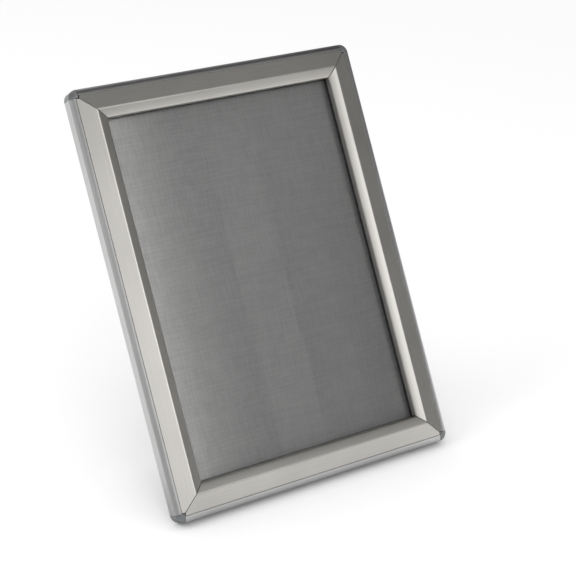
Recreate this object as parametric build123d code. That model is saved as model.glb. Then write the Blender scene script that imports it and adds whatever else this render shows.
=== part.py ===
from build123d import *
from math import atan2, cos, degrees, hypot, radians, sin
import os

# An A4 snap frame that stands on a folding strut.
# Section coordinates: d runs inward from the outer edge of a rail, w forward from the back plane.
# Frame coordinates, before the frame is leaned back: X right, Y backward, Z up, with w = -Y.

# Poster, rail width and the way the frame stands
poster_width = 210.0
poster_height = 297.0
rail_width = 25.0
poster_lap = 10.0
lean_deg = 30.0
open_deg = 90.0

# Base rail extrusion
flange_thickness = 1.4
wall_thickness = 1.4
flange_setback = 1.0
back_edge_round = 0.4
rim_width = 4.6
rim_outer_height = 10.9
rim_inner_height = 13.2
rim_bulge = 0.3
rib_thickness = 1.0
rib_height = 10.9
base_mitre_gap = 0.1

# Hinge bead of the snap rail and its socket in the base rail
bead_radius = 1.65
running_clearance = 0.05
socket_wall = 1.0
hinge_height = 9.7
neck_thickness = 1.0
slot_clearance_deg = 3.0

# Snap rail extrusion
skin_thickness = 1.2
edge_clearance = 0.17
seam_gap = 0.2
ridge_inset = 17.7
ridge_height = 17.0
ridge_round = 2.4
slope_bulge = 0.2
lip_height = 14.1
lip_round = 2.0
lip_to_sheet_gap = 0.25
mitre_gap = 0.3
strip_height = 3.5

# Corner caps
cap_size = 6.8
cap_gap = 0.1
cap_peg_length = 3.6
cap_to_skin_gap = 0.6
cap_to_bead_gap = 1.9

# Corner keys, their guides and screws
key_arm_length = 38.0
key_width = 6.6
key_thickness = 2.0
key_clearance = 0.15
guide_thickness = 0.8
guide_overhang = 1.0
key_screw_radius = 1.9
key_screw_height = 3.2
key_screw_inset = 24.0
hex_socket_width = 2.0
hex_socket_depth = 1.4

# Leaf springs
spring_thickness = 0.4
spring_sag = 1.3
spring_length = 40.0
short_spring_place = 31.0
long_spring_place = 78.0
leg_overrun = 0.4
groove_width = 0.9
groove_depth = 0.5
seat_rise = 0.45
seat_depth = 1.0
seat_lip = 0.6
spring_end_clearance = 0.12

# Wall fixing holes in the back flange of the top and bottom rails
fixing_hole_radius = 2.25
fixing_hole_place = 66.0

# Sheets
sheet_clearance = 0.2
panel_thickness = 3.0
poster_thickness = 0.5
clear_thickness = 0.8

# Strut hinge
strut_hinge_rise = 215.0
strut_open_deg = 46.0
hinge_plate_width = 70.0
hinge_plate_height = 36.0
hinge_plate_thickness = 1.5
hinge_plate_round = 3.0
knuckle_radius = 2.7
knuckle_standoff = 3.0
knuckle_width = 30.0
knuckle_side_gap = 0.3
pin_radius = 1.5
pin_head_radius = 2.4
pin_head_thickness = 1.2
heel_length = 5.0
heel_clearance = 0.05

# Strut leg and foot
leg_width = 64.0
leg_thickness = 2.0
leg_flange_depth = 5.0
leg_flange_top_drop = 8.0
foot_thickness = 5.2
foot_grip = 6.0
foot_clearance = 0.1

# Screws of the hinge plate
screw_radius = 1.4
screw_head_radius = 2.8
screw_head_thickness = 1.4
screw_depth = 2.4
screw_tip_gap = 0.1
screw_inset = 6.0
screw_row_share = 0.3
cross_slot_width = 0.6
cross_slot_depth = 0.7

# One overrun for all cuts
overrun = 1.0

# Sizes that follow from the ones above
rail_overlap = rail_width - poster_lap
frame_width = poster_width + 2 * rail_overlap
frame_height = poster_height + 2 * rail_overlap
flange_width = rail_width - flange_setback
bore_radius = bead_radius + running_clearance
axis_d = wall_thickness + bore_radius
axis = (axis_d, hinge_height)
rim_inner = (rim_width, rim_inner_height)
rim_edge_radius = hypot(rim_width - axis_d, rim_inner_height - hinge_height)
rim_edge_deg = degrees(atan2(rim_inner_height - hinge_height, rim_width - axis_d))
neck_half_deg = degrees(atan2(neck_thickness / 2, bead_radius))
neck_deg = rim_edge_deg - slot_clearance_deg - neck_half_deg - open_deg
slot_low_deg = neck_deg - neck_half_deg - slot_clearance_deg
edge_radius = rim_edge_radius + edge_clearance
tip_deg = rim_edge_deg - degrees(seam_gap / edge_radius)
leg_radius = edge_radius + skin_thickness + leg_overrun
seat_under = hinge_height + seat_rise
rib_outer = rail_overlap - sheet_clearance - rib_thickness
panel_front = flange_thickness + panel_thickness
poster_front = panel_front + poster_thickness
clear_front = poster_front + clear_thickness
strip_back = clear_front + lip_to_sheet_gap
strip_front = strip_back + strip_height
hinge_end_setback = cap_size + cap_gap + cap_peg_length + cap_to_bead_gap
key_inner = rib_outer - key_clearance
key_outer = key_inner - key_width
key_top = flange_thickness + key_thickness
guide_under = key_top + key_clearance
strut_axis_y = hinge_plate_thickness - flange_thickness + knuckle_standoff
pin_bore_radius = pin_radius + running_clearance

# How a cylinder or box stands on its own origin
UPWARD = (Align.CENTER, Align.CENTER, Align.MIN)
DOWNWARD = (Align.CENTER, Align.CENTER, Align.MAX)
BACKWARD = (Align.CENTER, Align.MIN, Align.MIN)

# Middle point, inward direction and length of each side, and the signs of each corner
SIDES = {
    "top": {"middle": (0, frame_height), "inward": (0, -1), "length": frame_width},
    "bottom": {"middle": (0, 0), "inward": (0, 1), "length": frame_width},
    "left": {
        "middle": (-frame_width / 2, frame_height / 2),
        "inward": (1, 0),
        "length": frame_height,
    },
    "right": {
        "middle": (frame_width / 2, frame_height / 2),
        "inward": (-1, 0),
        "length": frame_height,
    },
}
CORNERS = {
    "top_left": (-1, 1),
    "top_right": (1, 1),
    "bottom_left": (-1, -1),
    "bottom_right": (1, -1),
}


def polar(centre, radius, angle_deg):
    """The point at this radius and angle from centre."""
    angle = radians(angle_deg)
    return (centre[0] + radius * cos(angle), centre[1] + radius * sin(angle))


def outline(points):
    """A face with straight sides through the points."""
    return make_face(Polyline(*points, close=True))


def rectangle(low, high):
    """A face from its lowest to its highest corner."""
    return outline([low, (high[0], low[1]), high, (low[0], high[1])])


def disc(centre, radius):
    """A round face."""
    return Pos(*centre) * Circle(radius)


def ring_sector(centre, inner, outer, start_deg, end_deg):
    """The part of a ring between two radii and two angles, or a wedge where inner is zero."""
    middle_deg = (start_deg + end_deg) / 2
    angles = (start_deg, middle_deg, end_deg)
    out_start, out_middle, out_end = (polar(centre, outer, a) for a in angles)
    edges = [ThreePointArc(out_start, out_middle, out_end)]
    if inner:
        in_start, in_middle, in_end = (polar(centre, inner, a) for a in angles)
        edges.append(Line(out_end, in_end))
        edges.append(ThreePointArc(in_end, in_middle, in_start))
        edges.append(Line(in_start, out_start))
    else:
        edges += [Line(out_end, centre), Line(centre, out_start)]
    return make_face(edges)


def spoke(centre, start, end, width, angle_deg):
    """A straight bar that runs out from centre between two radii."""
    bar = rectangle((start, -width / 2), (end, width / 2))
    return Pos(*centre) * Rot(Z=angle_deg) * bar


def inset_corner(before, corner, after, depth):
    """The corner of a bent line, moved to its right by depth."""
    first = (corner[0] - before[0], corner[1] - before[1])
    second = (after[0] - corner[0], after[1] - corner[1])
    first_length = hypot(*first)
    second_length = hypot(*second)
    first_normal = (first[1] / first_length, -first[0] / first_length)
    second_normal = (second[1] / second_length, -second[0] / second_length)
    total = (first_normal[0] + second_normal[0], first_normal[1] + second_normal[1])
    scale = 2 * depth / (total[0] ** 2 + total[1] ** 2)
    return (corner[0] + total[0] * scale, corner[1] + total[1] * scale)


def round_corner(face, point, radius):
    """Rounds the corner of a face that is nearest to the point."""
    corner = min(face.vertices(), key=lambda v: hypot(v.X - point[0], v.Y - point[1]))
    return fillet(corner, radius)


def bowed(start, end, bulge):
    """An arc between two points whose middle stands off to the left of their line by bulge."""
    run = hypot(end[0] - start[0], end[1] - start[1])
    middle = (
        (start[0] + end[0]) / 2 - (end[1] - start[1]) / run * bulge,
        (start[1] + end[1]) / 2 + (end[0] - start[0]) / run * bulge,
    )
    return ThreePointArc(start, middle, end)


def rim_arc():
    """The crowned shoulder of the base rail, from its outer to its inner edge."""
    return bowed((0, rim_outer_height), rim_inner, rim_bulge)


def place_on_side(side, local):
    """Carries a rail from section coordinates (d, w, along) to its side of the frame."""
    middle = SIDES[side]["middle"]
    inward = SIDES[side]["inward"]
    d_dir = Vector(inward[0], 0, inward[1])
    w_dir = Vector(0, -1, 0)
    plane = Plane(origin=(middle[0], 0, middle[1]), x_dir=d_dir, z_dir=d_dir.cross(w_dir))
    return plane.location * local


def mitred(section, length, gap):
    """Extrudes a rail section and cuts both ends at 45 degrees, each short of the corner line by gap."""
    half = length / 2
    rail = extrude(section, amount=half, both=True)
    near = -rail_width
    far = 2 * rail_width
    shape = Polyline(
        (near, -(half - near - gap)),
        (far, -(half - far - gap)),
        (far, half - far - gap),
        (near, half - near - gap),
        close=True,
    )
    cutter = extrude(Plane.XZ * make_face(shape), amount=far, both=True)
    return rail & cutter


def square_ended(section, length, setback):
    """Extrudes a rail section with square ends that stop short of the frame's corner."""
    return extrude(section, amount=length / 2 - setback, both=True)


def room_for_caps(length, setback):
    """The block that a rail is kept within, so that its tips stop short of the corner caps."""
    return Box(4 * rail_width, 4 * rail_width, length - 2 * setback)


def socket_section():
    """The crowned rim of the base rail with the bore and slot that trap the snap rail's bead."""
    foot = (0, hinge_height)
    crown = (0, rim_outer_height)
    rim = make_face([rim_arc(), Line(rim_inner, axis), Line(axis, foot), Line(foot, crown)])
    body = rim + disc(axis, bore_radius + socket_wall)
    slot = ring_sector(axis, 0, edge_radius + overrun, slot_low_deg, rim_edge_deg)
    return body - disc(axis, bore_radius) - slot


def spring_seat_section():
    """The hooked lip on the rib that one edge of each leaf spring bears under."""
    return rectangle((rib_outer - seat_depth, seat_under), (rib_outer, seat_under + seat_lip))


def key_guide_section():
    """The two hooked guides that hold the corner keys down on the flange."""
    top = guide_under + guide_thickness
    wall_far = key_outer - key_clearance
    wall = rectangle((wall_far - guide_thickness, flange_thickness), (wall_far, top))
    outer_hook = rectangle((wall_far, guide_under), (wall_far + guide_overhang, top))
    inner_hook = rectangle((rib_outer - guide_overhang, guide_under), (rib_outer, top))
    return wall + outer_hook + inner_hook


def base_section():
    """The whole section of the base rail."""
    flange = rectangle((0, 0), (flange_width, flange_thickness))
    flange = round_corner(flange, (0, 0), back_edge_round)
    wall = rectangle((0, back_edge_round), (wall_thickness, hinge_height))
    rib = rectangle((rib_outer, flange_thickness), (rib_outer + rib_thickness, rib_height))
    return flange + wall + socket_section() + rib + spring_seat_section() + key_guide_section()


def make_base_rail(side):
    """A base rail, mitred, with room for the corner caps and with its wall fixing holes."""
    length = SIDES[side]["length"]
    rail = mitred(base_section(), length, base_mitre_gap)
    rail = rail & room_for_caps(length, cap_size + cap_gap)
    if side in ("top", "bottom"):
        hole_d = (key_outer + key_inner) / 2
        hole_depth = 2 * (flange_thickness + overrun)
        hole = Pos(hole_d, 0) * Rot(X=90) * Cylinder(fixing_hole_radius, hole_depth)
        for end in (-1, 1):
            rail -= Pos(Z=end * fixing_hole_place) * hole
    return place_on_side(side, rail)


def snap_skin_points():
    """The corners of the snap rail's outer surface, from the seam to the foot of the lip."""
    tip = polar(axis, edge_radius, tip_deg)
    ridge = (ridge_inset, ridge_height)
    lip_top = (rail_width, lip_height)
    lip_foot = (rail_width, strip_front)
    return tip, ridge, lip_top, lip_foot


def snap_skin_section():
    """The visible plate of the snap rail, its ridge and its lip, with the round edge beside the rim."""
    tip, ridge, lip_top, lip_foot = snap_skin_points()
    inner_ridge = inset_corner(tip, ridge, lip_top, skin_thickness)
    inner_lip = inset_corner(ridge, lip_top, lip_foot, skin_thickness)
    inner_foot = (rail_width - skin_thickness, lip_foot[1])
    run = hypot(ridge[0] - tip[0], ridge[1] - tip[1])
    across = (ridge[1] - tip[1]) / run * skin_thickness
    through = (-across, (ridge[0] - tip[0]) / run * skin_thickness)
    inner_tip = (tip[0] - through[0], tip[1] - through[1])
    outside = [Line(tip, ridge), bowed(ridge, lip_top, slope_bulge), Line(lip_top, lip_foot)]
    lip_end = [Line(lip_foot, inner_foot), Line(inner_foot, inner_lip)]
    inside = [bowed(inner_lip, inner_ridge, -slope_bulge), Line(inner_ridge, inner_tip)]
    plate = make_face(outside + lip_end + inside + [Line(inner_tip, tip)])
    for corner, radius in ((ridge, ridge_round), (lip_top, lip_round)):
        plate = round_corner(plate, corner, radius)
    for corner, radius in ((inner_ridge, ridge_round), (inner_lip, lip_round)):
        plate = round_corner(plate, corner, radius - skin_thickness)
    edge = ring_sector(axis, edge_radius, edge_radius + skin_thickness, 0, tip_deg)
    above_ridge = (ridge[0] + through[0], ridge[1] + through[1])
    above_tip = (tip[0] + through[0], tip[1] + through[1])
    edge -= outline([tip, ridge, above_ridge, above_tip])
    return plate + edge - disc(axis, edge_radius)


def snap_hinge_section():
    """The bead, its neck, the lower half of the round edge and the leg that the springs push on."""
    bead = disc(axis, bead_radius)
    neck = spoke(axis, 0, leg_radius, neck_thickness, neck_deg)
    foot = spoke(axis, edge_radius, leg_radius, neck_thickness + skin_thickness, neck_deg)
    groove = spoke(axis, leg_radius - groove_depth, leg_radius + overrun, groove_width, neck_deg)
    edge = ring_sector(axis, edge_radius, edge_radius + skin_thickness, neck_deg, slot_clearance_deg)
    return bead + neck + foot + edge - groove


def make_snap_rail(side):
    """A snap rail: the mitred skin with the shorter, square-ended hinge part under it."""
    length = SIDES[side]["length"]
    skin = mitred(snap_skin_section(), length, mitre_gap)
    skin = skin & room_for_caps(length, cap_size + cap_to_skin_gap)
    hinge = square_ended(snap_hinge_section(), length, hinge_end_setback)
    return place_on_side(side, skin + hinge)


def make_lip_strip(side):
    """The soft black strip along the foot of a snap rail's lip, beside the sheet."""
    section = rectangle((rail_width - skin_thickness, strip_back), (rail_width, strip_front))
    return place_on_side(side, mitred(section, SIDES[side]["length"], mitre_gap))


def make_leaf_spring(side, place):
    """A bowed leaf spring between the snap rail's leg and the seat on the rib."""
    end_room = spring_end_clearance + spring_thickness / 2
    start = polar(axis, leg_radius - groove_depth + end_room, neck_deg)
    end = (rib_outer - end_room, seat_under - end_room)
    chord = hypot(end[0] - start[0], end[1] - start[1])
    along_deg = degrees(atan2(end[1] - start[1], end[0] - start[0]))
    radius = (chord ** 2 / 4 + spring_sag ** 2) / (2 * spring_sag)
    middle = ((start[0] + end[0]) / 2, (start[1] + end[1]) / 2)
    centre = polar(middle, radius - spring_sag, along_deg + 90)
    half_deg = degrees(atan2(chord / 2, radius - spring_sag))
    leaf = ring_sector(
        centre,
        radius - spring_thickness / 2,
        radius + spring_thickness / 2,
        along_deg - 90 - half_deg,
        along_deg - 90 + half_deg,
    )
    leaf = extrude(leaf, amount=spring_length / 2, both=True)
    return place_on_side(side, Pos(Z=place) * leaf)


def place_in_corner(corner, local):
    """Carries a piece modelled at the bottom left corner (x right, z up from the corner) to its corner."""
    across, up = CORNERS[corner]
    piece = Pos(-frame_width / 2, 0, 0) * local
    if across > 0:
        piece = mirror(piece, about=Plane.YZ)
    if up > 0:
        piece = Pos(Z=frame_height) * mirror(piece, about=Plane.XY)
    return piece


def make_corner_cap(corner):
    """A rounded corner cap that carries the rim's crown round the corner, with a peg for each bore."""
    brow = (cap_size, rim_inner_height)
    heel = (cap_size, 0)
    crown = (0, rim_outer_height)
    straight = [Line(rim_inner, brow), Line(brow, heel), Line(heel, (0, 0)), Line((0, 0), crown)]
    profile = round_corner(make_face([rim_arc()] + straight), (0, 0), back_edge_round)
    quarter = revolve(Pos(-cap_size) * profile, Axis.Y, 90)
    # The profile's w axis becomes -Y and the quarter turn faces the frame's corner.
    cap = Pos(cap_size, 0, cap_size) * Rot(X=180) * quarter
    peg_start = cap_size - overrun
    peg_length = overrun + cap_gap + cap_peg_length
    peg = Cylinder(bead_radius, peg_length, align=UPWARD)
    cap += Pos(axis_d, -hinge_height, peg_start) * peg
    cap += Pos(peg_start, -hinge_height, axis_d) * Rot(Y=90) * peg
    return place_in_corner(corner, cap)


def key_screw_places():
    """Where the two screws of a corner key sit, seen from its corner."""
    centre = (key_outer + key_inner) / 2
    return [(key_screw_inset, centre), (centre, key_screw_inset)]


def make_corner_key(corner):
    """A flat L-shaped corner key with a threaded hole in each arm."""
    far = key_outer + key_arm_length
    points = [
        (key_outer, key_outer),
        (far, key_outer),
        (far, key_inner),
        (key_inner, key_inner),
        (key_inner, far),
        (key_outer, far),
    ]
    arms = outline(points)
    for place in key_screw_places():
        arms -= disc(place, key_screw_radius + running_clearance)
    plate = extrude(arms, amount=key_thickness)
    # The sketch's second axis becomes Z and its thickness grows forward, toward -Y.
    return place_in_corner(corner, Pos(0, -flange_thickness, 0) * Rot(X=90) * plate)


def make_key_screws():
    """The set screws of all four keys, each with its hexagon socket."""
    screw = Cylinder(key_screw_radius, key_screw_height, align=UPWARD)
    hexagon = RegularPolygon(hex_socket_width / 2, 6, major_radius=False)
    socket = extrude(hexagon, amount=hex_socket_depth + overrun)
    screw -= Pos(Z=key_screw_height - hex_socket_depth) * socket
    screws = []
    for corner in CORNERS:
        for place in key_screw_places():
            standing = Pos(place[0], -flange_thickness, place[1]) * Rot(X=90) * screw
            screws.append(place_in_corner(corner, standing))
    return Compound(children=screws)


def make_sheet(back, thickness):
    """A sheet of the poster's size that starts at this height above the back plane."""
    sheet = Box(poster_width, thickness, poster_height)
    return Pos(0, -(back + thickness / 2), frame_height / 2) * sheet


def hinge_screw_places():
    """Where the four screws of the strut's hinge plate sit, as x and z."""
    x = hinge_plate_width / 2 - screw_inset
    rise = hinge_plate_height * screw_row_share
    middle = strut_hinge_rise + hinge_plate_height / 2 - knuckle_radius
    return [(sx * x, middle + sz * rise) for sx in (-1, 1) for sz in (-1, 1)]


def make_back_panel():
    """The rigid back panel with blind holes for the hinge plate's screws."""
    panel = make_sheet(flange_thickness, panel_thickness)
    depth = screw_depth + screw_tip_gap
    hole = Cylinder(screw_radius + running_clearance, depth + overrun, align=UPWARD)
    for x, z in hinge_screw_places():
        panel -= Pos(x, -flange_thickness + overrun, z) * Rot(X=90) * hole
    return panel


def make_hinge_plate():
    """The strut's hinge plate with its two outer knuckles."""
    back = hinge_plate_thickness - flange_thickness
    plate_low = strut_hinge_rise - knuckle_radius
    plate = Box(hinge_plate_width, hinge_plate_thickness, hinge_plate_height, align=BACKWARD)
    plate = fillet(plate.edges().filter_by(Axis.Y), hinge_plate_round)
    plate = Pos(0, -flange_thickness, plate_low) * plate
    inner = knuckle_width / 2 + knuckle_side_gap
    width = hinge_plate_width / 2 - inner
    for end in (-1, 1):
        centre_x = end * (inner + width / 2)
        barrel = Pos(centre_x, strut_axis_y, strut_hinge_rise) * Rot(Y=90) * Cylinder(knuckle_radius, width)
        web = Box(width, strut_axis_y - back, knuckle_radius, align=BACKWARD)
        plate += barrel + Pos(centre_x, back, strut_hinge_rise - knuckle_radius) * web
    bore = Rot(Y=90) * Cylinder(pin_bore_radius, hinge_plate_width + overrun)
    plate -= Pos(0, strut_axis_y, strut_hinge_rise) * bore
    hole = Rot(X=90) * Cylinder(screw_radius + running_clearance, 2 * hinge_plate_thickness + overrun)
    for x, z in hinge_screw_places():
        plate -= Pos(x, 0, z) * hole
    return plate


def make_hinge_screws():
    """The four pan head screws that hold the hinge plate to the back panel."""
    shank_length = hinge_plate_thickness + screw_depth
    shank = Cylinder(screw_radius, shank_length, align=DOWNWARD)
    head = Cylinder(screw_head_radius, screw_head_thickness, align=UPWARD)
    head = fillet(head.edges().sort_by(Axis.Z)[-1], screw_head_thickness / 2)
    slot = Box(2 * screw_radius, cross_slot_width, 2 * cross_slot_depth)
    top = Pos(Z=screw_head_thickness)
    screw = shank + head - top * slot - top * Rot(Z=90) * slot
    screws = []
    for x, z in hinge_screw_places():
        screws.append(Pos(x, hinge_plate_thickness - flange_thickness, z) * Rot(X=-90) * screw)
    return Compound(children=screws)


def make_hinge_pin():
    """The strut's hinge pin with a head at each end."""
    half = hinge_plate_width / 2 + knuckle_side_gap
    pin = Cylinder(pin_radius, 2 * half)
    head = Cylinder(pin_head_radius, pin_head_thickness)
    for end in (-1, 1):
        pin += Pos(Z=end * (half + pin_head_thickness / 2)) * head
    return Pos(0, strut_axis_y, strut_hinge_rise) * Rot(Y=90) * pin


def foot_reach():
    """The distance from the strut's hinge axis to the centre of its rounded foot."""
    lean = radians(lean_deg)
    axis_rise = strut_hinge_rise * cos(lean) - strut_axis_y * sin(lean)
    floor = back_edge_round * (cos(lean) + sin(lean) - 1)
    return (axis_rise - floor - foot_thickness / 2) / cos(radians(strut_open_deg - lean_deg))


def swing_open(leg_piece):
    """Carries a piece of the leg, modelled hanging down from the hinge axis, to its open place."""
    return Pos(0, strut_axis_y, strut_hinge_rise) * Rot(X=strut_open_deg) * leg_piece


def make_strut_leg():
    """The strut's leg: a sheet with folded edges, its knuckle and the heel that stops it when open."""
    end = foot_reach()
    web = Box(leg_width, leg_thickness, end, align=DOWNWARD)
    clear = knuckle_radius + knuckle_side_gap + leg_thickness / 2
    notch = Box(leg_width, 2 * leg_thickness, 2 * clear)
    for side in (-1, 1):
        web -= Pos(side * (knuckle_width + leg_width) / 2) * notch
    for side in (-1, 1):
        drop = clear + leg_flange_top_drop
        height = end - drop - foot_grip - foot_clearance
        flange = Box(leg_thickness, leg_flange_depth, height, align=(Align.CENTER, Align.MIN, Align.MAX))
        web += Pos(side * (leg_width - leg_thickness) / 2, leg_thickness / 2, -drop) * flange
    barrel = Rot(Y=90) * Cylinder(knuckle_radius, knuckle_width)
    heel = Box(knuckle_width, leg_thickness, heel_length, align=UPWARD)
    bore = Rot(Y=90) * Cylinder(pin_bore_radius, knuckle_width + overrun)
    leg = swing_open(web + barrel + heel - bore)
    stop_back = hinge_plate_thickness - flange_thickness + heel_clearance
    stop_depth = 2 * heel_length
    stop = Box(leg_width + overrun, stop_depth, 2 * stop_depth)
    return leg - Pos(0, stop_back - stop_depth / 2, strut_hinge_rise) * stop


def make_strut_foot():
    """The rubber edging over the end of the leg, rounded where it stands."""
    radius = foot_thickness / 2
    end = foot_reach()
    block = Box(leg_width, foot_thickness, foot_grip, align=UPWARD)
    tube = Rot(Y=90) * Cylinder(radius, leg_width)
    slot_width = leg_thickness + 2 * foot_clearance
    slot = Box(leg_width + overrun, slot_width, foot_grip + overrun, align=UPWARD)
    foot = block + tube - Pos(Z=-foot_clearance) * slot
    return swing_open(Pos(Z=-end) * foot)


def build_pieces():
    """Every piece by name, in frame coordinates."""
    pieces = {}
    for side in SIDES:
        pieces[f"base_rail_{side}"] = make_base_rail(side)
        pieces[f"snap_rail_{side}"] = make_snap_rail(side)
        pieces[f"lip_strip_{side}"] = make_lip_strip(side)
        place = long_spring_place if side in ("left", "right") else short_spring_place
        pieces[f"leaf_spring_{side}_a"] = make_leaf_spring(side, -place)
        pieces[f"leaf_spring_{side}_b"] = make_leaf_spring(side, place)
    for corner in CORNERS:
        pieces[f"corner_cap_{corner}"] = make_corner_cap(corner)
        pieces[f"corner_key_{corner}"] = make_corner_key(corner)
    pieces["corner_key_screws"] = make_key_screws()
    pieces["back_panel"] = make_back_panel()
    pieces["poster_sheet"] = make_sheet(panel_front, poster_thickness)
    pieces["clear_sheet"] = make_sheet(poster_front, clear_thickness)
    pieces["strut_hinge_plate"] = make_hinge_plate()
    pieces["strut_hinge_screws"] = make_hinge_screws()
    pieces["strut_hinge_pin"] = make_hinge_pin()
    pieces["strut_leg"] = make_strut_leg()
    pieces["strut_foot"] = make_strut_foot()
    return pieces


def main():
    """Leans the frame back, centres it with its lowest point at zero, and writes the pieces."""
    os.makedirs("parts", exist_ok=True)
    leaned = {name: Rot(X=-lean_deg) * piece for name, piece in build_pieces().items()}
    boxes = [piece.bounding_box() for piece in leaned.values()]
    middle_y = (min(b.min.Y for b in boxes) + max(b.max.Y for b in boxes)) / 2
    lowest = min(b.min.Z for b in boxes)
    for name, piece in leaned.items():
        export_step(Pos(0, -middle_y, -lowest) * piece, f"parts/{name}.step")
    print(f"{len(leaned)} pieces, moved back {-middle_y:.4f} and up {-lowest:.4f}")
    print(f"hinge axis at d {axis_d:.3f} w {hinge_height:.3f}, neck at {neck_deg:.1f} degrees")
    print(f"strut axis at y {strut_axis_y:.3f} z {strut_hinge_rise:.3f} before leaning")


main()
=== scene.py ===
"""Looks of an A4 snap poster frame that leans back on a folding strut.

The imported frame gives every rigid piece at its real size. The classes below give each
sub-assembly its finishes, and set up the floor, the light tent, the lamps and the camera.
"""

import logging
import math
from dataclasses import dataclass, field
from enum import Enum
from typing import Any, Iterator

import bmesh
import bpy
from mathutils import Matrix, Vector


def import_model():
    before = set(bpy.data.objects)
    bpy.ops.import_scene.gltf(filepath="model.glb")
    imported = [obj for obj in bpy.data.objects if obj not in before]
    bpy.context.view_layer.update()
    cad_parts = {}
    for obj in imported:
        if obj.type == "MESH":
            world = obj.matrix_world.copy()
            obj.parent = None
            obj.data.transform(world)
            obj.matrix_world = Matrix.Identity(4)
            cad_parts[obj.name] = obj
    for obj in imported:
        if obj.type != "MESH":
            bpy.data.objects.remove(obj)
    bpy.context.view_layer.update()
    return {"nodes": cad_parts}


Colour = tuple[float, float, float]
Material = bpy.types.Material
Socket = bpy.types.NodeSocket

log = logging.getLogger("poster_frame")

LEAN_DEG = 30.0
MM_PER_METRE = 1000.0

EDGE_SAMPLES = 4
# Cosine between the softened and the flat normal, where the wear of an edge starts and where it is full.
EDGE_START = 0.995
EDGE_FULL = 0.9


class Side(Enum):
    """The four sides of the frame, by the words in the node names."""

    TOP = "top"
    BOTTOM = "bottom"
    LEFT = "left"
    RIGHT = "right"


class Corner(Enum):
    """The four corners of the frame, by the words in the node names."""

    TOP_LEFT = "top_left"
    TOP_RIGHT = "top_right"
    BOTTOM_LEFT = "bottom_left"
    BOTTOM_RIGHT = "bottom_right"


class GrainAxis(Enum):
    """The way a drawn or rolled surface's grain runs, in the frame's upright axes x, y and z."""

    ACROSS = "x"
    THROUGH = "y"
    UP = "z"


SIDE_GRAIN: dict[Side, GrainAxis] = {
    Side.TOP: GrainAxis.ACROSS,
    Side.BOTTOM: GrainAxis.ACROSS,
    Side.LEFT: GrainAxis.UP,
    Side.RIGHT: GrainAxis.UP,
}
RAIL_GRAINS = (GrainAxis.ACROSS, GrainAxis.UP)


@dataclass(frozen=True)
class Noise:
    """Smooth noise that makes a surface uneven.

    Attributes:
        per_mm: Features to the millimetre.
        octaves: Octaves of finer noise in them.
        stretch: How many times longer than wide they are, where they follow a grain.
    """

    per_mm: float
    octaves: float
    stretch: float = 1.0


@dataclass(frozen=True)
class Relief:
    """How far a texture stands out of its surface.

    Attributes:
        height: Its full height, in metres.
        share: The share of that height that shows.
    """

    height: float
    share: float


@dataclass(frozen=True)
class Mottle:
    """How a colour follows noise from a deep shade to a pale one.

    Attributes:
        start: The level of the noise at which it starts to turn pale.
        full: The level at which it is palest.
        deep: The deepest shade, in parts of the colour.
        pale: The palest shade, in parts of the colour.
        top: How much of the palest shade is reached.
    """

    start: float
    full: float
    deep: float
    pale: float
    top: float = 1.0


def shade(colour: Colour, parts: float) -> Colour:
    """A colour made deeper or paler.

    Args:
        colour: The colour.
        parts: What it is multiplied by.

    Returns:
        The new colour, no brighter than white.
    """
    return tuple(min(1.0, parts * channel) for channel in colour)


def opaque(value: Any) -> Any:
    """Adds an alpha of 1 to a colour.

    Args:
        value: A colour as three numbers, or a socket, a number or four numbers.

    Returns:
        The colour as four numbers, or the other kinds as they came.
    """
    if isinstance(value, tuple) and len(value) == 3:
        return (*value, 1.0)
    return value


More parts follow.
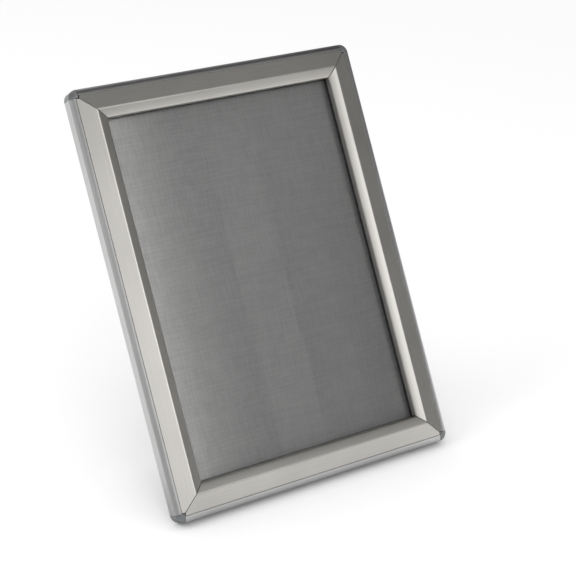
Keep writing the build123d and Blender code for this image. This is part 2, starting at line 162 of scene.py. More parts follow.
class NodeBench:
    """A node tree with short calls for the nodes that the finishes share."""

    def __init__(self, tree: bpy.types.NodeTree) -> None:
        """Empties the tree, ready for new nodes.

        Args:
            tree: The tree of a material or the world.
        """
        self.tree = tree
        tree.nodes.clear()

    def node(self, kind: str, **settings: Any) -> bpy.types.Node:
        """Adds a node.

        Args:
            kind: Blender's name for the node's type.
            **settings: Attributes to set on it.

        Returns:
            The new node.
        """
        made = self.tree.nodes.new(kind)
        for name, value in settings.items():
            setattr(made, name, value)
        return made

    def feed(self, target: Socket, value: Any) -> None:
        """Links a socket to another, or sets it to a plain value.

        Args:
            target: The input socket.
            value: An output socket, a number or a tuple.
        """
        if isinstance(value, Socket):
            self.tree.links.new(value, target)
        else:
            target.default_value = value

    def show(self, shader: Socket, output: str = "ShaderNodeOutputMaterial") -> None:
        """Links a shader to the tree's output.

        Args:
            shader: The shader's socket.
            output: Blender's name for the output's type.
        """
        self.feed(self.node(output).inputs["Surface"], shader)

    def maths(self, operation: str, *values: Any, clamp: bool = False) -> Socket:
        """A sum on numbers.

        Args:
            operation: The Math node's operation.
            *values: Its inputs.
            clamp: Whether the result is kept between 0 and 1.

        Returns:
            The result's socket.
        """
        made = self.node("ShaderNodeMath", operation=operation, use_clamp=clamp)
        for target, value in zip(made.inputs, values):
            self.feed(target, value)
        return made.outputs[0]

    def vector(self, operation: str, *values: Any) -> bpy.types.Node:
        """A sum on vectors.

        Args:
            operation: The Vector Math node's operation.
            *values: Its vector inputs.

        Returns:
            The node, whose outputs are Vector and Value.
        """
        made = self.node("ShaderNodeVectorMath", operation=operation)
        for target, value in zip(made.inputs, values):
            self.feed(target, value)
        return made

    def vary(self, noise: Socket, middle: float, swing: float) -> Socket:
        """A number that noise moves up and down about its middle.

        Args:
            noise: Noise between 0 and 1.
            middle: The number's middle.
            swing: How far apart its ends are.

        Returns:
            The result's socket.
        """
        return self.maths("MULTIPLY_ADD", noise, swing, middle - 0.5 * swing)

    def waves(self, along: Socket, pitch: float) -> Socket:
        """Even waves between 0 and 1.

        Args:
            along: The coordinate that they follow.
            pitch: The length of one wave.

        Returns:
            The waves' socket.
        """
        turns = self.maths("MULTIPLY", along, 2.0 * math.pi / pitch)
        return self.maths("MULTIPLY_ADD", self.maths("SINE", turns), 0.5, 0.5)

    def rise(self, value: Any, start: float, full: float, top: float = 1.0) -> Socket:
        """A number that rises smoothly from 0 with another, and is held at its ends.

        Args:
            value: The number that it follows.
            start: Where the rise starts.
            full: Where it ends.
            top: What it rises to.

        Returns:
            The result's socket.
        """
        made = self.node("ShaderNodeMapRange", interpolation_type="SMOOTHSTEP")
        self.feed(made.inputs["Value"], value)
        self.feed(made.inputs["From Min"], start)
        self.feed(made.inputs["From Max"], full)
        self.feed(made.inputs["To Min"], 0.0)
        self.feed(made.inputs["To Max"], top)
        return made.outputs["Result"]

    def upright_mm(self) -> Socket:
        """The frame's own coordinates in millimetres, as if it stood upright.

        Returns:
            A vector socket: x across, y through the frame, z up the frame.
        """
        place = self.node("ShaderNodeTexCoord").outputs["Object"]
        turned = self.node("ShaderNodeMapping", vector_type="POINT")
        self.feed(turned.inputs["Vector"], place)
        self.feed(turned.inputs["Rotation"], (math.radians(LEAN_DEG), 0.0, 0.0))
        self.feed(turned.inputs["Scale"], (MM_PER_METRE,) * 3)
        return turned.outputs["Vector"]

    def axes(self, place: Socket) -> bpy.types.NodeOutputs:
        """Takes coordinates apart.

        Args:
            place: The coordinates.

        Returns:
            The outputs X, Y and Z.
        """
        parts = self.node("ShaderNodeSeparateXYZ")
        self.feed(parts.inputs["Vector"], place)
        return parts.outputs

    def stretched(self, place: Socket, grain: GrainAxis, length: float) -> Socket:
        """Coordinates in which noise is drawn out along the grain.

        Args:
            place: The coordinates.
            grain: The way the grain runs.
            length: How many times longer than wide a feature is.

        Returns:
            A vector socket.
        """
        shares = tuple(1.0 / length if axis is grain else 1.0 for axis in GrainAxis)
        return self.vector("MULTIPLY", place, shares).outputs["Vector"]

    def noise(self, place: Socket, kind: Noise, grain: GrainAxis | None = None) -> Socket:
        """Smooth noise between 0 and 1.

        Args:
            place: The coordinates, in millimetres.
            kind: How fine it is, and how far it is stretched.
            grain: The way that it is stretched, if it is.

        Returns:
            The noise's socket.
        """
        if grain is not None:
            place = self.stretched(place, grain, kind.stretch)
        made = self.node("ShaderNodeTexNoise")
        self.feed(made.inputs["Vector"], place)
        self.feed(made.inputs["Scale"], kind.per_mm)
        self.feed(made.inputs["Detail"], kind.octaves)
        return made.outputs["Fac"]

    def blend(self, share: Any, first: Any, second: Any) -> Socket:
        """A mix of two colours.

        Args:
            share: How much of the second colour, 0 to 1.
            first: A colour or its socket.
            second: A colour or its socket.

        Returns:
            The mixed colour's socket.
        """
        made = self.node("ShaderNodeMix", data_type="RGBA")
        self.feed(made.inputs["Factor"], share)
        for name, colour in (("A", first), ("B", second)):
            target = next(s for s in made.inputs if s.name == name and s.type == "RGBA")
            self.feed(target, opaque(colour))
        return next(s for s in made.outputs if s.type == "RGBA")

    def mottled(self, level: Socket, colour: Colour, mottle: Mottle) -> Socket:
        """A colour that varies with noise.

        Args:
            level: The noise.
            colour: The colour.
            mottle: How it varies.

        Returns:
            The colour's socket.
        """
        share = self.rise(level, mottle.start, mottle.full, mottle.top)
        return self.blend(share, shade(colour, mottle.deep), shade(colour, mottle.pale))

    def rubbed(self, colour: Socket, edge: Socket, share: float, bare: Colour) -> Socket:
        """A colour with what shows where the edges are rubbed.

        Args:
            colour: The colour's socket.
            edge: The mask that is 1 along the edges.
            share: How much of the bare colour shows there.
            bare: The colour of a rubbed edge.

        Returns:
            The new colour's socket.
        """
        return self.blend(self.maths("MULTIPLY", edge, share), colour, bare)

    def worn_edges(self, radius: float) -> tuple[Socket, Socket]:
        """Softened edges, and a mask of where they are.

        Args:
            radius: The rounding of the edges, in metres.

        Returns:
            The softened normal, and a mask that is 1 along sharp edges.
        """
        soft = self.node("ShaderNodeBevel", samples=EDGE_SAMPLES)
        self.feed(soft.inputs["Radius"], radius)
        flat = self.node("ShaderNodeNewGeometry").outputs["Normal"]
        near = self.vector("DOT_PRODUCT", soft.outputs["Normal"], flat).outputs["Value"]
        return soft.outputs["Normal"], self.rise(near, EDGE_START, EDGE_FULL)

    def bump(self, height: Any, relief: Relief, normal: Socket | None = None) -> Socket:
        """A bumped normal.

        Args:
            height: Height between 0 and 1.
            relief: What a height of 1 stands for.
            normal: The normal that it starts from, if that isn't the surface's own.

        Returns:
            The normal's socket.
        """
        made = self.node("ShaderNodeBump")
        self.feed(made.inputs["Strength"], relief.share)
        self.feed(made.inputs["Distance"], relief.height)
        self.feed(made.inputs["Height"], height)
        if normal is not None:
            self.feed(made.inputs["Normal"], normal)
        return made.outputs["Normal"]

    def surface(self, **sockets: Any) -> None:
        """Makes the surface shader and links it to the output.

        Args:
            **sockets: Values by socket name, with underscores for spaces.
        """
        shader = self.node("ShaderNodeBsdfPrincipled")
        for name, value in sockets.items():
            self.feed(shader.inputs[name.replace("_", " ")], opaque(value))
        self.show(shader.outputs["BSDF"])


def new_material(name: str) -> tuple[Material, NodeBench]:
    """An empty material and the bench for its nodes.

    Args:
        name: The material's name.

    Returns:
        The material and its bench.
    """
    material = bpy.data.materials.new(name)
    material.use_nodes = True
    return material, NodeBench(material.node_tree)


def put_on(node: bpy.types.Object, material: Material) -> None:
    """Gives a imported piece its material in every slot.

    Args:
        node: The piece.
        material: Its finish.
    """
    if not node.material_slots:
        node.data.materials.append(material)
    for place in node.material_slots:
        place.material = material


@dataclass(frozen=True)
class SatinAluminium:
    """Extruded aluminium, etched and anodised to a satin, with die lines along its length."""

    name: str
    colour: Colour
    grain: GrainAxis
    lines: Noise = Noise(2.6, 4.0, stretch=90.0)
    line_relief: Relief = Relief(0.00001, 0.35)
    etch: Noise = Noise(5.5, 2.0)
    etch_relief: Relief = Relief(0.000012, 0.25)
    cloud: Noise = Noise(0.018, 2.0)
    tone_share: float = 0.45
    mottle: Mottle = Mottle(0.25, 0.65, 0.90, 1.08)
    roughness: float = 0.30
    line_swing: float = 0.08
    cloud_swing: float = 0.05
    edge_polish: float = 0.08
    edge_radius: float = 0.00025
    edge_share: float = 0.5
    edge_colour: Colour = (0.86, 0.86, 0.86)

    def make(self) -> Material:
        """Builds the material.

        Returns:
            The finished material.
        """
        material, bench = new_material(self.name)
        place = bench.upright_mm()
        lines = bench.noise(place, self.lines, self.grain)
        etch = bench.noise(place, self.etch)
        cloud = bench.noise(place, self.cloud)
        normal, edge = bench.worn_edges(self.edge_radius)
        clouded = bench.maths("MULTIPLY", cloud, self.tone_share)
        tone = bench.maths("MULTIPLY_ADD", lines, self.tone_share, clouded)
        colour = bench.mottled(tone, self.colour, self.mottle)
        colour = bench.rubbed(colour, edge, self.edge_share, self.edge_colour)
        rough = bench.vary(lines, self.roughness, self.line_swing)
        rough = bench.maths("MULTIPLY_ADD", cloud, self.cloud_swing, rough)
        rough = bench.maths("MULTIPLY_ADD", edge, -self.edge_polish, rough)
        bumped = bench.bump(lines, self.line_relief, normal)
        bumped = bench.bump(etch, self.etch_relief, bumped)
        bench.surface(Base_Color=colour, Metallic=1.0, Roughness=rough, Normal=bumped)
        return material


@dataclass(frozen=True)
class MouldedPlastic:
    """Injection-moulded plastic with a fine spark-eroded texture and slightly polished edges."""

    name: str
    colour: Colour
    roughness: float
    specular: float = 0.5
    coat: float = 0.0
    pits: Noise = Noise(3.0, 3.0)
    pit_relief: Relief = Relief(0.00002, 0.35)
    pit_swing: float = 0.12
    flow: Noise = Noise(0.12, 2.0)
    mottle: Mottle = Mottle(0.3, 0.7, 0.85, 1.18)
    edge_polish: float = 0.08
    edge_radius: float = 0.00025
    edge_share: float = 0.25
    edge_pale: float = 1.8

    def make(self) -> Material:
        """Builds the material.

        Returns:
            The finished material.
        """
        material, bench = new_material(self.name)
        place = bench.upright_mm()
        pits = bench.noise(place, self.pits)
        flow = bench.noise(place, self.flow)
        normal, edge = bench.worn_edges(self.edge_radius)
        colour = bench.mottled(flow, self.colour, self.mottle)
        colour = bench.rubbed(colour, edge, self.edge_share, shade(self.colour, self.edge_pale))
        rough = bench.vary(pits, self.roughness, self.pit_swing)
        rough = bench.maths("MULTIPLY_ADD", edge, -self.edge_polish, rough)
        bench.surface(
            Base_Color=colour,
            Roughness=rough,
            Normal=bench.bump(pits, self.pit_relief, normal),
            Specular_IOR_Level=self.specular,
            Coat_Weight=self.coat,
            Coat_Roughness=self.roughness,
        )
        return material


@dataclass(frozen=True)
class RolledSteel:
    """Cold-rolled steel with a plated or blued skin."""

    name: str
    colour: Colour
    tint: Colour
    grain: GrainAxis
    roughness: float = 0.3
    lines: Noise = Noise(4.0, 4.0, stretch=40.0)
    line_relief: Relief = Relief(0.00001, 0.4)
    line_swing: float = 0.14
    patches: Noise = Noise(0.25, 3.0)
    patch_start: float = 0.35
    patch_full: float = 0.7
    patch_swing: float = 0.08
    edge_radius: float = 0.00012
    edge_share: float = 0.45
    edge_colour: Colour = (0.72, 0.72, 0.72)

    def make(self) -> Material:
        """Builds the material.

        Returns:
            The finished material.
        """
        material, bench = new_material(self.name)
        place = bench.upright_mm()
        lines = bench.noise(place, self.lines, self.grain)
        patches = bench.noise(place, self.patches)
        normal, edge = bench.worn_edges(self.edge_radius)
        tinted = bench.rise(patches, self.patch_start, self.patch_full)
        colour = bench.blend(tinted, self.colour, self.tint)
        colour = bench.rubbed(colour, edge, self.edge_share, self.edge_colour)
        rough = bench.vary(lines, self.roughness, self.line_swing)
        rough = bench.maths("MULTIPLY_ADD", patches, self.patch_swing, rough)
        bumped = bench.bump(lines, self.line_relief, normal)
        bench.surface(Base_Color=colour, Metallic=1.0, Roughness=rough, Normal=bumped)
        return material


@dataclass(frozen=True)
class PowderCoat:
    """Powder coat on folded sheet, with its fine orange peel and rubbed edges."""

    name: str
    colour: Colour
    peel: Noise = Noise(0.9, 2.0)
    peel_relief: Relief = Relief(0.00004, 0.5)
    grit: Noise = Noise(6.0, 1.0)
    grit_relief: Relief = Relief(0.00001, 0.3)
    scuffs: Noise = Noise(0.5, 4.0, stretch=12.0)
    mottle: Mottle = Mottle(0.6, 0.8, 1.0, 1.6, top=0.6)
    roughness: float = 0.45
    peel_swing: float = 0.14
    scuff_swing: float = 0.08
    specular: float = 0.45
    edge_radius: float = 0.0004
    edge_share: float = 0.4
    edge_colour: Colour = (0.3, 0.3, 0.3)

    def make(self) -> Material:
        """Builds the material.

        Returns:
            The finished material.
        """
        material, bench = new_material(self.name)
        place = bench.upright_mm()
        peel = bench.noise(place, self.peel)
        grit = bench.noise(place, self.grit)
        scuffs = bench.noise(place, self.scuffs, GrainAxis.UP)
        normal, edge = bench.worn_edges(self.edge_radius)
        colour = bench.mottled(scuffs, self.colour, self.mottle)
        colour = bench.rubbed(colour, edge, self.edge_share, self.edge_colour)
        rough = bench.vary(peel, self.roughness, self.peel_swing)
        rough = bench.maths("MULTIPLY_ADD", scuffs, self.scuff_swing, rough)
        bumped = bench.bump(peel, self.peel_relief, normal)
        bumped = bench.bump(grit, self.grit_relief, bumped)
        bench.surface(
            Base_Color=colour, Roughness=rough, Normal=bumped, Specular_IOR_Level=self.specular
        )
        return material


@dataclass(frozen=True)
class RigidBoard:
    """A rigid plastic board with rolled faces, faint roller marks and handling scuffs."""

    name: str
    colour: Colour
    roller: Noise = Noise(0.35, 3.0, stretch=25.0)
    roller_relief: Relief = Relief(0.00003, 0.3)
    skin: Noise = Noise(1.6, 3.0)
    skin_relief: Relief = Relief(0.00003, 0.4)
    scuffs: Noise = Noise(0.05, 5.0)
    tone_share: float = 0.35
    mottle: Mottle = Mottle(0.25, 0.5, 1.0, 1.5)
    roughness: float = 0.5
    scuff_swing: float = 0.2
    specular: float = 0.4
    edge_radius: float = 0.0003
    edge_share: float = 0.3
    edge_colour: Colour = (0.25, 0.25, 0.25)

    def make(self) -> Material:
        """Builds the material.

        Returns:
            The finished material.
        """
        material, bench = new_material(self.name)
        place = bench.upright_mm()
        roller = bench.noise(place, self.roller, GrainAxis.UP)
        skin = bench.noise(place, self.skin)
        scuffs = bench.noise(place, self.scuffs)
        normal, edge = bench.worn_edges(self.edge_radius)
        scuffed = bench.maths("MULTIPLY", scuffs, self.tone_share)
        tone = bench.maths("MULTIPLY_ADD", roller, self.tone_share, scuffed)
        colour = bench.mottled(tone, self.colour, self.mottle)
        colour = bench.rubbed(colour, edge, self.edge_share, self.edge_colour)
        rough = bench.vary(scuffs, self.roughness, self.scuff_swing)
        bumped = bench.bump(skin, self.skin_relief, normal)
        bumped = bench.bump(roller, self.roller_relief, bumped)
        bench.surface(
            Base_Color=colour, Roughness=rough, Normal=bumped, Specular_IOR_Level=self.specular
        )
        return material


@dataclass(frozen=True)
class LinenPaper:
    """Grey paper with a fine linen emboss of uneven threads, bowed near its left edge, where a painted
    sheen makes it paler.

    Attributes:
        drift_pitches: How far the threads wander, in pitches.
        weave_tone: How much the threads show in the colour.
        slub_tone: How much the slubs do.
        cloud_tone: How much the cloudiness does.
        weave_height: How much of the emboss the threads make.
        slub_height: How much of it the slubs make.
        painted_sheen: How much paler the painted sheen makes the left edge.
        painted_sheen_power: How fast the painted sheen dies away from the edge.
        bow_start_mm: Where the bow is steepest.
        bow_width_mm: How far in it goes.
        bow_rise_mm: How high the bowed edge stands.
        bow_power: How fast the bow dies away.
    """

    name: str
    colour: Colour
    thread_pitch_mm: float = 3.4
    drift_pitches: float = 2.4
    warp_drift: Noise = Noise(0.25, 3.0, stretch=8.0)
    weft_drift: Noise = Noise(0.25, 3.0, stretch=14.0)
    warp_slubs: Noise = Noise(0.3, 2.0, stretch=3.0)
    weft_slubs: Noise = Noise(0.3, 2.0, stretch=5.0)
    cloud: Noise = Noise(0.02, 3.0)
    weave_tone: float = 0.30
    slub_tone: float = 0.36
    cloud_tone: float = 0.12
    mottle: Mottle = Mottle(0.30, 0.85, 0.89, 1.11)
    weave_height: float = 0.6
    slub_height: float = 0.3
    emboss: Relief = Relief(0.00006, 0.20)
    metallic: float = 0.8
    roughness: float = 0.29
    specular: float = 0.4
    painted_sheen: float = 0.60
    painted_sheen_power: float = 1.6
    bow_start_mm: float = -97.0
    bow_width_mm: float = 62.0
    bow_rise_mm: float = 2.7
    bow_power: float = 3.0

    def threads(self, bench: NodeBench, along: Socket, drift: Socket) -> Socket:
        """One set of parallel threads.

        Args:
            bench: The material's bench.
            along: The coordinate that counts the threads, in millimetres.
            drift: Noise that makes their spacing uneven.

        Returns:
            Height between 0 and 1.
        """
        wander = self.drift_pitches * self.thread_pitch_mm
        moved = bench.maths("MULTIPLY_ADD", drift, wander, along)
        return bench.waves(moved, self.thread_pitch_mm)

    def make(self) -> Material:
        """Builds the material.

        Returns:
            The finished material.
        """
        material, bench = new_material(self.name)
        place = bench.upright_mm()
        axes = bench.axes(place)
        warp_drift = bench.noise(place, self.warp_drift, GrainAxis.UP)
        weft_drift = bench.noise(place, self.weft_drift, GrainAxis.ACROSS)
        warp = self.threads(bench, axes["X"], warp_drift)
        weft = self.threads(bench, axes["Z"], weft_drift)
        weave = bench.maths("MULTIPLY", bench.maths("ADD", warp, weft), 0.5)
        slubs = bench.maths(
            "ADD",
            bench.noise(place, self.warp_slubs, GrainAxis.UP),
            bench.noise(place, self.weft_slubs, GrainAxis.ACROSS),
        )
        cloud = bench.noise(place, self.cloud)
        tone = bench.maths("MULTIPLY", slubs, self.slub_tone)
        tone = bench.maths("MULTIPLY_ADD", weave, self.weave_tone, tone)
        tone = bench.maths("MULTIPLY_ADD", cloud, self.cloud_tone, tone)
        colour = bench.mottled(tone, self.colour, self.mottle)
        height = bench.maths("MULTIPLY", slubs, self.slub_height)
        height = bench.maths("MULTIPLY_ADD", weave, self.weave_height, height)
        inward = bench.maths("SUBTRACT", axes["X"], self.bow_start_mm)
        inward = bench.maths("DIVIDE", inward, self.bow_width_mm)
        left = bench.maths("SUBTRACT", 1.0, inward, clamp=True)
        # Painted sheen: the colour is made paler towards the left edge, standing in for a reflection there.
        sheen_painted_colour = bench.vector("SCALE", colour)
        paler = bench.maths("MULTIPLY_ADD", bench.maths("POWER", left, self.painted_sheen_power), self.painted_sheen, 1.0)
        bench.feed(sheen_painted_colour.inputs["Scale"], paler)
        bow = bench.maths("SUBTRACT", 1.0, bench.maths("POWER", left, self.bow_power))
        bowed = bench.bump(bow, Relief(self.bow_rise_mm / MM_PER_METRE, 1.0))
        bench.surface(
            Base_Color=sheen_painted_colour.outputs["Vector"],
            Metallic=self.metallic,
            Roughness=self.roughness,
            Normal=bench.bump(height, self.emboss, bowed),
            Specular_IOR_Level=self.specular,
        )
        return material


@dataclass(frozen=True)
class ClearPlastic:
    """A clear sheet, finely matt against glare on its outer face and clear on its inner face.

    Attributes:
        haze: How much of the matt face is seen rather than what lies behind it.
        outer_side_mm: A level between its two faces, measured through the upright frame.
    """

    name: str
    colour: Colour = (0.85, 0.88, 0.88)
    haze: float = 0.095
    outer_side_mm: float = -73.13
    roughness: float = 0.25
    specular: float = 0.8
    frost: Noise = Noise(4.0, 2.0)
    frost_relief: Relief = Relief(0.000008, 0.3)
    wipes: Noise = Noise(0.02, 3.0, stretch=4.0)
    wipe_swing: float = 0.1

    def make(self) -> Material:
        """Builds the material.

        Returns:
            The finished material.
        """
        material, bench = new_material(self.name)
        place = bench.upright_mm()
        outer = bench.maths("LESS_THAN", bench.axes(place)["Y"], self.outer_side_mm)
        frost = bench.noise(place, self.frost)
        wipes = bench.noise(place, self.wipes, GrainAxis.ACROSS)
        bench.surface(
            Base_Color=self.colour,
            Roughness=bench.vary(wipes, self.roughness, self.wipe_swing),
            Normal=bench.bump(frost, self.frost_relief),
            Alpha=bench.maths("MULTIPLY", outer, self.haze),
            Specular_IOR_Level=self.specular,
        )
        return material


@dataclass(frozen=True)
class RibbedRubber:
    """Soft black rubber with fine ribs across its tread and a dusty bloom."""

    name: str
    colour: Colour
    rib_pitch_mm: float = 1.6
    rib_relief: Relief = Relief(0.0001, 0.6)
    bloom: Noise = Noise(0.2, 4.0)
    mottle: Mottle = Mottle(0.4, 0.75, 1.0, 2.2, top=0.7)
    pores: Noise = Noise(4.0, 2.0)
    pore_relief: Relief = Relief(0.00003, 0.4)
    roughness: float = 0.72
    specular: float = 0.3

    def make(self) -> Material:
        """Builds the material.

        Returns:
            The finished material.
        """
        material, bench = new_material(self.name)
        place = bench.upright_mm()
        ribs = bench.waves(bench.axes(place)["X"], self.rib_pitch_mm)
        bloom = bench.noise(place, self.bloom)
        pores = bench.noise(place, self.pores)
        bumped = bench.bump(ribs, self.rib_relief)
        bench.surface(
            Base_Color=bench.mottled(bloom, self.colour, self.mottle),
            Roughness=self.roughness,
            Normal=bench.bump(pores, self.pore_relief, bumped),
            Specular_IOR_Level=self.specular,
        )
        return material


@dataclass
class SubAssembly:
    """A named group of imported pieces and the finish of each."""

    title: str
    nodes: dict[str, bpy.types.Object]

    def finishes(self) -> Iterator[tuple[str, Material]]:
        """Gives each piece's name with its finish, as each sub-assembly says for itself."""
        raise NotImplementedError

    def dress(self) -> int:
        """Puts the finishes on.

        Returns:
            How many pieces were dressed.
        """
        count = 0
        for name, material in self.finishes():
            put_on(self.nodes[name], material)
            log.info("%s: %s in %s", self.title, name, material.name)
            count += 1
        return count


@dataclass
class BaseRails(SubAssembly):
    """The four base extrusions, whose crowned rims show outside the snap rails."""

    piece: str = "base_rail"
    metal: str = "base_aluminium"
    colour: Colour = (0.74, 0.74, 0.735)

    def finishes(self) -> Iterator[tuple[str, Material]]:
        """Makes the aluminium, drawn each way that a rail runs, and gives it out.

        Returns:
            Each rail's name with its finish.
        """
        made = {
            grain: SatinAluminium(f"{self.metal}_{grain.value}", self.colour, grain).make()
            for grain in RAIL_GRAINS
        }
        for side in Side:
            yield f"{self.piece}_{side.value}", made[SIDE_GRAIN[side]]


@dataclass
class SnapRails(BaseRails):
    """The four hinged fronts of the frame, drawn as the base rails are, in a warmer metal."""

    piece: str = "snap_rail"
    metal: str = "face_aluminium"
    colour: Colour = (0.74, 0.72, 0.68)


@dataclass
class LipStrips(SubAssembly):
    """The strips between the snap rails' lips and the clear sheet, near black as painted shade for the dark
    gap there.
    """

    # Near black: painted shade for the gap between the lip and the sheet.
    colour: Colour = (0.02, 0.02, 0.02)
    roughness: float = 0.5
    texture: Noise = Noise(1.5, 3.0)

    def finishes(self) -> Iterator[tuple[str, Material]]:
        """Makes the near-black plastic, a painted shade, and gives it out.

        Returns:
            Each strip's name with its finish.
        """
        strip_shade = MouldedPlastic("strip_vinyl", self.colour, self.roughness, pits=self.texture).make()
        for side in Side:
            yield f"lip_strip_{side.value}", strip_shade


@dataclass
class CornerParts(SubAssembly):
    """The plastic caps, the keys that join the base rails, and their screws."""

    cap_colour: Colour = (0.13, 0.135, 0.142)
    cap_roughness: float = 0.32
    cap_specular: float = 1.0
    cap_coat: float = 0.9
    zinc_colour: Colour = (0.60, 0.60, 0.58)
    zinc_tint: Colour = (0.66, 0.64, 0.56)

    def finishes(self) -> Iterator[tuple[str, Material]]:
        """Makes the caps' plastic and the zinc-plated steel, and gives them out.

        Returns:
            The names of the caps, the keys and the screws, each with its finish.
        """
        cap = MouldedPlastic(
            "cap_plastic", self.cap_colour, self.cap_roughness, self.cap_specular, self.cap_coat
        ).make()
        zinc = RolledSteel("zinc_steel", self.zinc_colour, self.zinc_tint, GrainAxis.ACROSS).make()
        for corner in Corner:
            yield f"corner_cap_{corner.value}", cap
            yield f"corner_key_{corner.value}", zinc
        yield "corner_key_screws", zinc


@dataclass
class LeafSprings(SubAssembly):
    """The bowed springs that hold each snap rail shut or open."""

    colour: Colour = (0.24, 0.26, 0.30)
    tint: Colour = (0.36, 0.33, 0.28)
    roughness: float = 0.28

    def finishes(self) -> Iterator[tuple[str, Material]]:
        """Makes the blued steel, rolled each way that a spring runs, and gives it out.

        Returns:
            Each spring's name with its finish.
        """
        made = {
            grain: RolledSteel(
                f"spring_steel_{grain.value}", self.colour, self.tint, grain, self.roughness
            ).make()
            for grain in RAIL_GRAINS
        }
        for side in Side:
            for end in ("a", "b"):
                yield f"leaf_spring_{side.value}_{end}", made[SIDE_GRAIN[side]]


@dataclass
class SheetStack(SubAssembly):
    """The back panel, the grey sheet and the clear cover."""

    panel_colour: Colour = (0.045, 0.045, 0.048)
    paper_colour: Colour = (0.39, 0.385, 0.378)

    def finishes(self) -> Iterator[tuple[str, Material]]:
        """Makes each sheet's finish and gives it out.

        Returns:
            Each sheet's name with its finish.
        """
        yield "back_panel", RigidBoard("panel_board", self.panel_colour).make()
        yield "poster_sheet", LinenPaper("poster_paper", self.paper_colour).make()
        yield "clear_sheet", ClearPlastic("clear_plastic").make()


@dataclass
class FoldingStrut(SubAssembly):
    """The hinge plate, its screws and pin, the leg and its rubber foot."""

    coat_colour: Colour = (0.05, 0.05, 0.052)
    steel_colour: Colour = (0.62, 0.62, 0.61)
    steel_tint: Colour = (0.56, 0.56, 0.57)
    rubber_colour: Colour = (0.025, 0.025, 0.025)

    def finishes(self) -> Iterator[tuple[str, Material]]:
        """Makes the powder coat, the steel and the rubber, and gives them out.

        Returns:
            The name of each piece of the strut with its finish.
        """
        coat = PowderCoat("strut_coat", self.coat_colour).make()
        steel = RolledSteel("pin_steel", self.steel_colour, self.steel_tint, GrainAxis.ACROSS).make()
        yield "strut_hinge_plate", coat
        yield "strut_leg", coat
        yield "strut_hinge_screws", steel
        yield "strut_hinge_pin", steel
        yield "strut_foot", RibbedRubber("foot_rubber", self.rubber_colour).make()


def toward(heading_deg: float, rise_deg: float) -> Vector:
    """A direction out from the object.

    Args:
        heading_deg: 0 straight out of its front, positive to its right.
        rise_deg: Angle above the floor.

    Returns:
        A unit vector.
    """
    heading = math.radians(heading_deg)
    rise = math.radians(rise_deg)
    flat = math.cos(rise)
    return Vector((math.sin(heading) * flat, -math.cos(heading) * flat, math.sin(rise)))


def placed(name: str, data: bpy.types.ID) -> bpy.types.Object:
    """Puts a mesh, a lamp or a camera into the scene.

    Args:
        name: The name of its object.
        data: The mesh, lamp or camera.

    Returns:
        The new object.
    """
    obj = bpy.data.objects.new(name, data)
    bpy.context.scene.collection.objects.link(obj)
    return obj


@dataclass(frozen=True)
class Glow:
    """A soft bright patch on the wall of the light tent.

    Attributes:
        heading_deg: The heading of its middle, as in toward.
        rise_deg: The angle of its middle above the floor.
        inner_deg: How far from its middle it is fully bright.
        outer_deg: How far from its middle it ends.
        amount: How bright it is.
    """

    heading_deg: float
    rise_deg: float
    inner_deg: float
    outer_deg: float
    amount: float


@dataclass(frozen=True)
class Lamp:
    """A square soft box aimed at the middle of the object.

    Attributes:
        name: Its name.
        heading_deg: Its heading, as in toward.
        rise_deg: Its angle above the floor.
        distance: How far it is from the object, in metres.
        width: Its width, in metres.
        watts: Its power.
    """

    name: str
    heading_deg: float
    rise_deg: float
    distance: float
    width: float
    watts: float


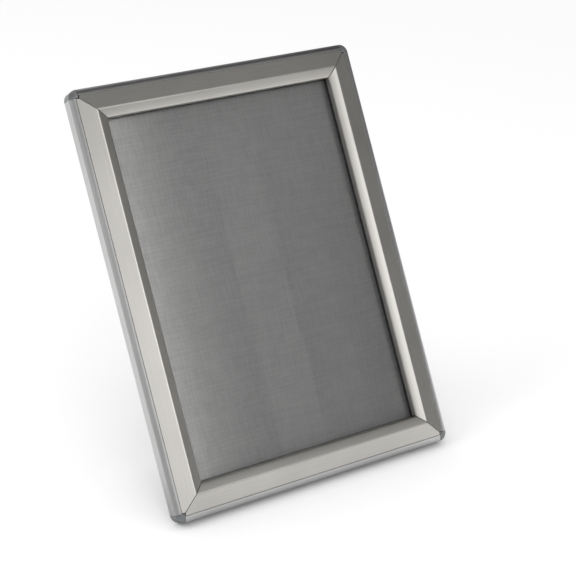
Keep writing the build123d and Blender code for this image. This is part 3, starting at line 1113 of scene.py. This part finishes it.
@dataclass
class Studio:
    """The pale floor, the light tent that the metal mirrors, the lamps and the world.

    Attributes:
        aim: The middle of the object, in metres.
        floor_half: Half the floor's width, in metres.
        floor_colour: Its grey level.
        floor_lift: Its own glow where nothing stands over it, to sight alone.
        lift_power: How fast that glow dies away towards the object.
        painted_contact_shade: The grey level of the painted shade that reflections see on it under the
            object.
        contact_reach: How far out the object shades it, in metres.
        contact_samples: Rays that find that shade.
        tent_radius: The tent's radius, in metres.
        tent_segments: Its segments around, twice those from top to bottom.
        surround_colour: The world's grey level.
        surround_strength: The world's strength.
        glows: The tent's bright patches.
        lamps: The soft boxes.
    """

    aim: Vector = field(default_factory=lambda: Vector((0.0, 0.0, 0.14)))
    floor_half: float = 6.0
    floor_colour: float = 0.8
    floor_lift: float = 0.27
    lift_power: float = 1.2
    painted_contact_shade: float = 0.1
    contact_reach: float = 0.07
    contact_samples: int = 8
    tent_radius: float = 5.0
    tent_segments: int = 48
    surround_colour: float = 0.8
    surround_strength: float = 1.0
    glows: tuple[Glow, ...] = (
        Glow(-60.0, 8.0, 0.0, 28.0, 0.34),
        Glow(-8.0, 8.0, 0.0, 28.0, 0.40),
        Glow(18.0, 8.0, 0.0, 28.0, 0.07),
        Glow(70.0, 8.0, 0.0, 28.0, 0.18),
        Glow(96.0, 8.0, 0.0, 28.0, 0.07),
        Glow(-62.0, 31.0, 0.0, 22.0, 0.44),
        Glow(-44.0, 31.0, 0.0, 22.0, 0.16),
        Glow(-17.0, 31.0, 0.0, 22.0, 0.08),
        Glow(-5.0, 31.0, 0.0, 22.0, 0.76),
        Glow(7.0, 31.0, 0.0, 22.0, 0.80),
        Glow(20.0, 31.0, 0.0, 22.0, 0.34),
        Glow(52.0, 31.0, 0.0, 22.0, 0.18),
        Glow(-6.0, 55.0, 0.0, 28.0, 0.07),
        Glow(34.0, 55.0, 0.0, 28.0, 0.36),
        Glow(28.0, 3.0, 0.0, 16.0, 0.42),
        Glow(-36.0, 27.0, 0.0, 14.0, 0.25),
        Glow(180.0, 35.0, 10.0, 52.0, 0.60),
        Glow(190.0, 60.0, 4.0, 30.0, 0.50),
    )
    lamps: tuple[Lamp, ...] = (
        Lamp("front_soft_box", -20.0, 40.0, 1.6, 1.0, 4.4),
        Lamp("left_soft_box", -105.0, 42.0, 1.8, 0.6, 6.8),
    )

    def floor(self) -> bpy.types.Object:
        """Builds the floor, lifted to white for sight alone, shaded where the object shades it, with
        painted shade near the object in its glow and in the colour that reflections see.

        Returns:
            The floor's object.
        """
        mesh = bpy.data.meshes.new("floor")
        half = self.floor_half
        corners = [(-half, -half, 0), (half, -half, 0), (half, half, 0), (-half, half, 0)]
        mesh.from_pydata(corners, [], [(0, 1, 2, 3)])
        obj = placed("floor", mesh)
        material, bench = new_material("floor_white")
        path = bench.node("ShaderNodeLightPath").outputs
        seen = bench.maths("MAXIMUM", path["Is Camera Ray"], path["Is Transmission Ray"])
        sky = bench.node("ShaderNodeAmbientOcclusion", samples=self.contact_samples)
        bench.feed(sky.inputs["Distance"], self.contact_reach)
        open_sky = sky.outputs["AO"]
        # The glow dies away where the object stands near: painted shade on the floor.
        lift = bench.maths("MULTIPLY", bench.maths("POWER", open_sky, self.lift_power), self.floor_lift)
        diffuse = bench.node("ShaderNodeBsdfDiffuse")
        white = (self.floor_colour,) * 3
        # Painted shade: reflections see the floor's colour darkened to the contact grey near the object.
        near = bench.blend(bench.maths("MULTIPLY", open_sky, open_sky), (self.painted_contact_shade,) * 3, white)
        bench.feed(diffuse.inputs["Color"], bench.blend(path["Is Glossy Ray"], white, near))
        glow = bench.node("ShaderNodeEmission")
        bench.feed(glow.inputs["Strength"], bench.maths("MULTIPLY", seen, lift))
        both = bench.node("ShaderNodeAddShader")
        bench.feed(both.inputs[0], diffuse.outputs["BSDF"])
        bench.feed(both.inputs[1], glow.outputs["Emission"])
        bench.show(both.outputs["Shader"])
        mesh.materials.append(material)
        return obj

    def tent(self) -> bpy.types.Object:
        """Builds the light tent, a dome that only reflections see.

        Returns:
            The tent's object.
        """
        mesh = bpy.data.meshes.new("light_tent")
        shell = bmesh.new()
        around = self.tent_segments
        bmesh.ops.create_uvsphere(shell, u_segments=around, v_segments=around // 2, radius=self.tent_radius)
        bmesh.ops.translate(shell, verts=shell.verts, vec=self.aim)
        shell.to_mesh(mesh)
        shell.free()
        obj = placed("light_tent", mesh)
        material, bench = new_material("tent_cloth")
        place = bench.node("ShaderNodeTexCoord").outputs["Object"]
        out = bench.vector("SUBTRACT", place, tuple(self.aim)).outputs["Vector"]
        out = bench.vector("NORMALIZE", out).outputs["Vector"]
        level: Any = 0.0
        for glow in self.glows:
            middle = tuple(toward(glow.heading_deg, glow.rise_deg))
            near = bench.vector("DOT_PRODUCT", out, middle).outputs["Value"]
            start = math.cos(math.radians(glow.outer_deg))
            full = math.cos(math.radians(glow.inner_deg))
            level = bench.maths("ADD", level, bench.rise(near, start, full, glow.amount))
        cloth = bench.node("ShaderNodeEmission")
        bench.feed(cloth.inputs["Strength"], level)
        bench.show(cloth.outputs["Emission"])
        mesh.materials.append(material)
        obj.visible_camera = False
        obj.visible_diffuse = False
        obj.visible_transmission = False
        obj.visible_volume_scatter = False
        obj.visible_shadow = False
        return obj

    def light(self, lamp: Lamp) -> bpy.types.Object:
        """Hangs one soft box.

        Args:
            lamp: Its place, size and power.

        Returns:
            The lamp's object.
        """
        data = bpy.data.lights.new(lamp.name, "AREA")
        data.shape = "SQUARE"
        data.size = lamp.width
        data.energy = lamp.watts
        obj = placed(lamp.name, data)
        out = toward(lamp.heading_deg, lamp.rise_deg)
        obj.location = self.aim + out * lamp.distance
        obj.rotation_euler = out.to_track_quat("Z", "Y").to_euler()
        obj.visible_glossy = False
        return obj

    def world(self) -> None:
        """Sets a plain pale surround."""
        world = bpy.data.worlds.new("surround")
        bpy.context.scene.world = world
        world.use_nodes = True
        bench = NodeBench(world.node_tree)
        background = bench.node("ShaderNodeBackground")
        bench.feed(background.inputs["Color"], opaque((self.surround_colour,) * 3))
        bench.feed(background.inputs["Strength"], self.surround_strength)
        bench.show(background.outputs["Background"], "ShaderNodeOutputWorld")

    def build(self) -> None:
        """Builds the whole studio and reports it."""
        for made in (self.floor(), self.tent(), *(self.light(lamp) for lamp in self.lamps)):
            log.info("studio: %s", made.name)
        self.world()


@dataclass(frozen=True)
class Viewpoint:
    """The camera, where the photograph was taken from.

    Attributes:
        place: Its place, in metres.
        heading_deg: How far it is turned to its right from facing +Y.
        dip_deg: How far it looks down.
        lens: Its focal length, in millimetres.
        sensor: Its sensor's width, in millimetres.
        clip: The nearest and the farthest that it sees, in metres.
    """

    place: tuple[float, float, float] = (-0.49871, -0.90796, 0.63622)
    heading_deg: float = 29.90
    dip_deg: float = 25.99
    lens: float = 93.07
    sensor: float = 36.0
    clip: tuple[float, float] = (0.01, 50.0)

    def build(self) -> None:
        """Makes the scene's camera and reports it."""
        data = bpy.data.cameras.new("camera")
        data.sensor_width = self.sensor
        data.lens = self.lens
        data.clip_start, data.clip_end = self.clip
        obj = placed("camera", data)
        obj.location = self.place
        obj.rotation_euler = (math.radians(90.0 - self.dip_deg), 0.0, math.radians(-self.heading_deg))
        bpy.context.scene.camera = obj
        log.info("studio: %s", obj.name)


def main() -> None:
    """Loads the frame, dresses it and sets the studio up."""
    logging.basicConfig(level=logging.INFO, format="%(message)s")
    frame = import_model()
    nodes = frame["nodes"]
    bpy.context.scene.view_settings.view_transform = "Standard"
    dressed = 0
    for assembly in (
        BaseRails("base rails", nodes),
        SnapRails("snap rails", nodes),
        LipStrips("lip strips", nodes),
        CornerParts("corner parts", nodes),
        LeafSprings("leaf springs", nodes),
        SheetStack("sheets", nodes),
        FoldingStrut("strut", nodes),
    ):
        dressed += assembly.dress()
    log.info("%d of %d pieces dressed", dressed, len(nodes))
    Studio().build()
    Viewpoint().build()


if __name__ == "__main__":
    main()
